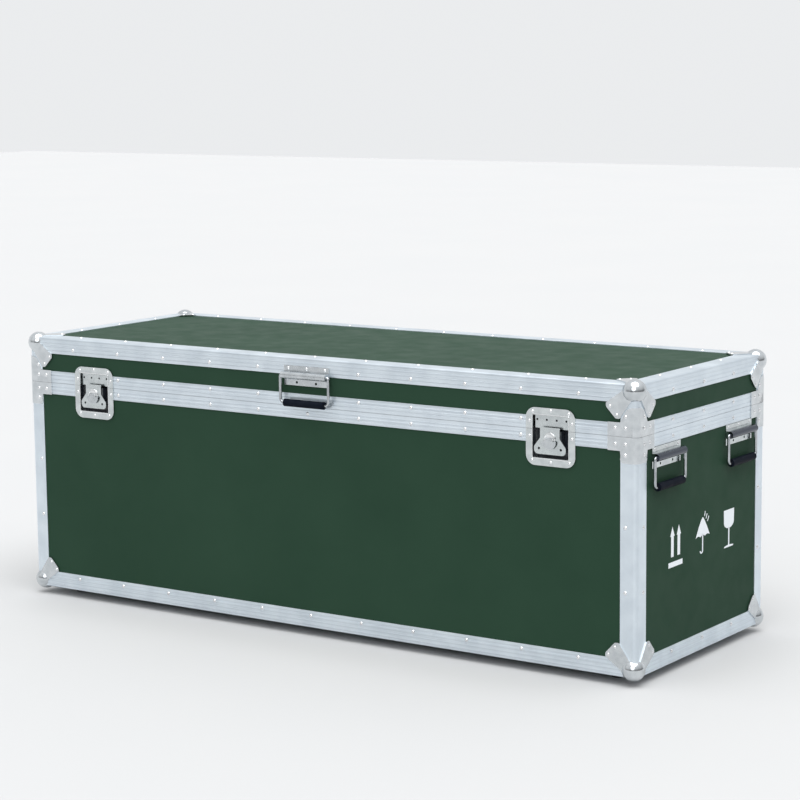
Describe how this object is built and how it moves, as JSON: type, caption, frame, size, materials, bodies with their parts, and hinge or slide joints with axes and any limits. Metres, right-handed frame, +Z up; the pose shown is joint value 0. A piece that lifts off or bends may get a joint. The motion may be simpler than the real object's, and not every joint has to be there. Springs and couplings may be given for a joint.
{
  "type": "transport case",
  "caption": "Long hinged transport case of edged plywood panels with ball corners, recessed twist latches, drop handles and rubber feet.",
  "frame": {"origin": "bottom centre of the whole object, on the floor under the feet", "axes": "+X to the right seen from the latch side, -Y towards the latch side (front), +Z up"},
  "size_m": [1.2858, 0.4675, 0.4855],
  "materials": {
    "green_laminate": "satin laminate on plywood, fine texture",
    "extrusion": "clear anodised, ribbed",
    "zinc_hardware": "bright zinc plate",
    "bright_plate": "nickel plate",
    "rivet": "zinc plate",
    "grip_rubber": "semi-gloss moulded",
    "foot_rubber": "matt",
    "foam_lining": "closed-cell foam"
  },
  "bodies": {
    "base": {"base_back_panel": "green_laminate", "base_ball_corners": "zinc_hardware", "base_corner_braces": "zinc_hardware", "base_floor_panel": "green_laminate", "base_front_panel": "green_laminate", "base_left_panel": "green_laminate", "base_lining": "foam_lining", "base_right_panel": "green_laminate", "base_rivets": "rivet", "bottom_edges_long": "extrusion", "bottom_edges_short": "extrusion", "corner_posts": "extrusion", "foot_screws": "zinc_hardware", "hinge_base_leaves": "zinc_hardware", "hinge_pins": "zinc_hardware", "latch_cover_left": "zinc_hardware", "latch_cover_right": "zinc_hardware", "latch_dish_left": "zinc_hardware", "latch_dish_right": "zinc_hardware", "left_back_handle_plate": "zinc_hardware", "left_front_handle_plate": "zinc_hardware", "right_back_handle_plate": "zinc_hardware", "right_front_handle_plate": "zinc_hardware", "rubber_feet": "foot_rubber", "tongue_rims_long": "extrusion", "tongue_rims_short": "extrusion"},
    "lid": {"front_handle_plate": "zinc_hardware", "groove_rims_long": "extrusion", "groove_rims_short": "extrusion", "hinge_lid_leaves": "zinc_hardware", "keeper_dishes": "zinc_hardware", "latch_strikes": "zinc_hardware", "lid_back_panel": "green_laminate", "lid_ball_corners": "zinc_hardware", "lid_corner_braces": "zinc_hardware", "lid_corner_posts": "extrusion", "lid_front_panel": "green_laminate", "lid_left_panel": "green_laminate", "lid_lining": "foam_lining", "lid_right_panel": "green_laminate", "lid_rivets": "rivet", "lid_top_panel": "green_laminate", "top_edges_long": "extrusion", "top_edges_short": "extrusion"},
    "hook_left": {"latch_hook_left": "bright_plate"},
    "cam_left": {"latch_cam_left": "bright_plate"},
    "wing_left": {"latch_wing_left": "bright_plate"},
    "hook_right": {"latch_hook_right": "bright_plate"},
    "cam_right": {"latch_cam_right": "bright_plate"},
    "wing_right": {"latch_wing_right": "bright_plate"},
    "front_bail": {"front_handle_bail": "bright_plate", "front_handle_grip": "grip_rubber"},
    "right_front_bail": {"right_front_handle_bail": "bright_plate", "right_front_handle_grip": "grip_rubber"},
    "right_back_bail": {"right_back_handle_bail": "bright_plate", "right_back_handle_grip": "grip_rubber"},
    "left_front_bail": {"left_front_handle_bail": "bright_plate", "left_front_handle_grip": "grip_rubber"},
    "left_back_bail": {"left_back_handle_bail": "bright_plate", "left_back_handle_grip": "grip_rubber"}
  },
  "joints": [
    {"name": "lid_hinge", "type": "hinge", "parent": "base", "child": "lid", "pos_m": [0, 0.22875, 0.396], "axis": [-1, 0, 0], "range_deg": [0, 100]},
    {"name": "left_twist", "type": "hinge", "parent": "base", "child": "cam_left", "pos_m": [-0.4755, -0.21925, 0.382], "axis": [0, -1, 0], "range_deg": [0, 180]},
    {"name": "left_hook_slide", "type": "slide", "parent": "base", "child": "hook_left", "axis": [0, 0.3745, -0.9272], "range_m": [0, 0.00561]},
    {"name": "left_wing_fold", "type": "hinge", "parent": "cam_left", "child": "wing_left", "pos_m": [-0.4755, -0.22515, 0.382], "axis": [-1, 0, 0], "range_deg": [0, 90]},
    {"name": "right_twist", "type": "hinge", "parent": "base", "child": "cam_right", "pos_m": [0.4755, -0.21925, 0.382], "axis": [0, -1, 0], "range_deg": [0, 180]},
    {"name": "right_hook_slide", "type": "slide", "parent": "base", "child": "hook_right", "axis": [0, 0.3745, -0.9272], "range_m": [0, 0.00561]},
    {"name": "right_wing_fold", "type": "hinge", "parent": "cam_right", "child": "wing_right", "pos_m": [0.4755, -0.22515, 0.382], "axis": [-1, 0, 0], "range_deg": [0, 90]},
    {"name": "front_handle_swing", "type": "hinge", "parent": "lid", "child": "front_bail", "pos_m": [0, -0.22725, 0.4487], "axis": [-1, 0, 0], "range_deg": [0, 90]},
    {"name": "right_front_handle_swing", "type": "hinge", "parent": "base", "child": "right_front_bail", "pos_m": [0.6364, -0.12425, 0.3585], "axis": [0, -1, 0], "range_deg": [0, 90]},
    {"name": "right_back_handle_swing", "type": "hinge", "parent": "base", "child": "right_back_bail", "pos_m": [0.6364, 0.12775, 0.3585], "axis": [0, -1, 0], "range_deg": [0, 90]},
    {"name": "left_front_handle_swing", "type": "hinge", "parent": "base", "child": "left_front_bail", "pos_m": [-0.6364, -0.12425, 0.3585], "axis": [0, 1, 0], "range_deg": [0, 90]},
    {"name": "left_back_handle_swing", "type": "hinge", "parent": "base", "child": "left_back_bail", "pos_m": [-0.6364, 0.12775, 0.3585], "axis": [0, 1, 0], "range_deg": [0, 90]}
  ],
  "couplings": [
    {"joint": "left_hook_slide", "follows": "left_twist", "m_per_rad": 0.0017851},
    {"joint": "right_hook_slide", "follows": "right_twist", "m_per_rad": 0.0017851}
  ]
}
